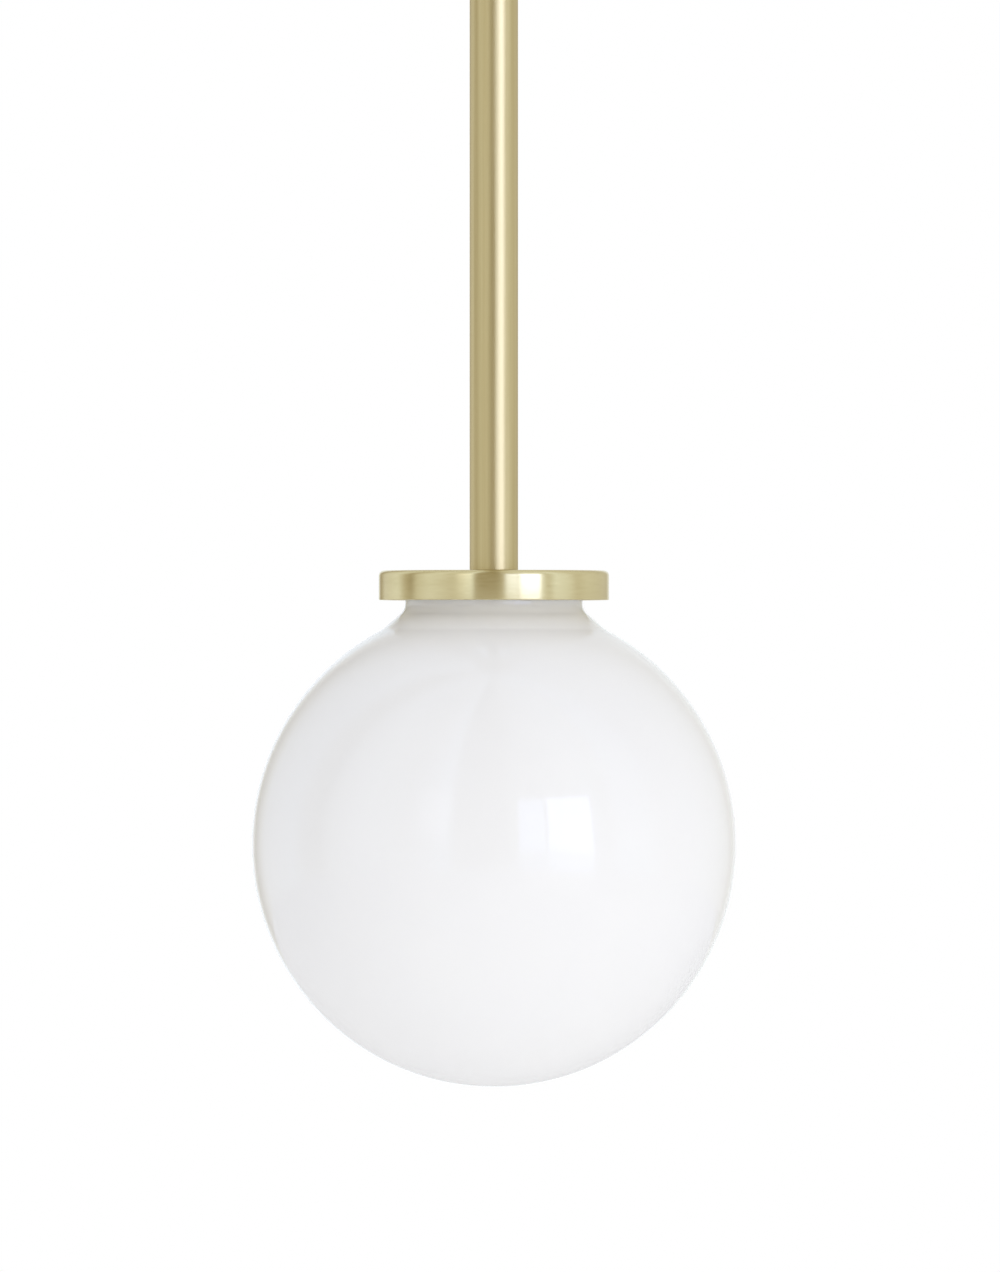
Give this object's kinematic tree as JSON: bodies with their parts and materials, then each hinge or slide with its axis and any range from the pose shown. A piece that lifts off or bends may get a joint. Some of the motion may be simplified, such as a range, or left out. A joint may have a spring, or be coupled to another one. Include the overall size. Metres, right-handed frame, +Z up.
{
  "type": "pendant ceiling light",
  "caption": "Opal glass globe screwed into a shallow round brass cap, on a rigid brass rod that hangs from a swivel inside a ceiling canopy.",
  "frame": {"origin": "centre of the hanger bracket's face against the ceiling, on the rod's axis", "axes": "+Z up into the ceiling, so the light hangs down -Z; +X along the line of the two ceiling fixing slots; -Y is the front"},
  "size_m": [0.15, 0.15, 0.6394],
  "materials": {
    "brushed_brass": "satin, brushed along the rod, lacquered",
    "turned_brass": "satin, brushed round the rim, lacquered",
    "raw_brass": "as turned",
    "zinc_steel": "bright zinc plated",
    "tinned_copper": "tinned",
    "nylon": "moulded",
    "steatite": "unglazed",
    "opal_glass": "glossy, opal white",
    "silicone": "matt",
    "brown_insulation": "silicone insulated wire",
    "blue_insulation": "silicone insulated wire",
    "green_insulation": "silicone insulated wire with a yellow stripe",
    "white_plastic": "moulded",
    "frosted_envelope": "frosted",
    "white_board": "white solder resist"
  },
  "bodies": {
    "ceiling": {"hanger_bracket": "zinc_steel", "ball_seat": "raw_brass", "canopy": "brushed_brass", "canopy_screws": "brushed_brass", "terminal_block": "nylon", "terminal_clamps": "raw_brass", "terminal_screws": "zinc_steel", "block_screw": "zinc_steel", "earth_screw": "raw_brass", "bracket_earth_tag": "tinned_copper"},
    "swivel": {"guide_pins": "zinc_steel"},
    "pendant": {"swivel_ball": "raw_brass", "rod_top_bush": "raw_brass", "rod": "brushed_brass", "rod_bottom_bush": "raw_brass", "cap_nipple": "raw_brass", "shade_cap": "turned_brass", "thread_ring": "turned_brass", "lampholder_bracket": "zinc_steel", "cap_earth_tag": "tinned_copper", "shakeproof_washer": "zinc_steel", "cap_lock_nut": "raw_brass", "lampholder": "steatite", "lampholder_contacts": "tinned_copper", "lampholder_screws": "zinc_steel", "live_lead": "brown_insulation", "neutral_lead": "blue_insulation", "earth_lead": "green_insulation"},
    "gasket": {"shade_gasket": "silicone"},
    "globe": {"glass_globe": "opal_glass"},
    "lamp": {"lamp_base": "white_plastic", "lamp_pins": "tinned_copper", "lamp_envelope": "frosted_envelope", "led_board": "white_board"}
  },
  "joints": [
    {"name": "swivel_side", "type": "hinge", "parent": "ceiling", "child": "swivel", "pos_m": [0, 0, -0.019], "axis": [0, 1, 0], "range_deg": [-8, 8], "deforming": ["live_lead", "neutral_lead", "earth_lead"]},
    {"name": "swivel_front", "type": "hinge", "parent": "swivel", "child": "pendant", "pos_m": [0, 0, -0.019], "axis": [1, 0, 0], "range_deg": [-8, 8]},
    {"name": "globe_drop", "type": "slide", "parent": "pendant", "child": "gasket", "axis": [0, 0, -1], "range_m": [0, 0.00325]},
    {"name": "globe_turn", "type": "hinge", "parent": "gasket", "child": "globe", "pos_m": [0, 0, -0.4827], "axis": [0, 0, -1], "range_deg": [0, 360]},
    {"name": "lamp_pull", "type": "slide", "parent": "pendant", "child": "lamp", "axis": [0, 0, -1], "range_m": [0, 0.012]}
  ],
  "couplings": [
    {"joint": "globe_drop", "follows": "globe_turn", "m_per_rad": 0.0005093}
  ]
}
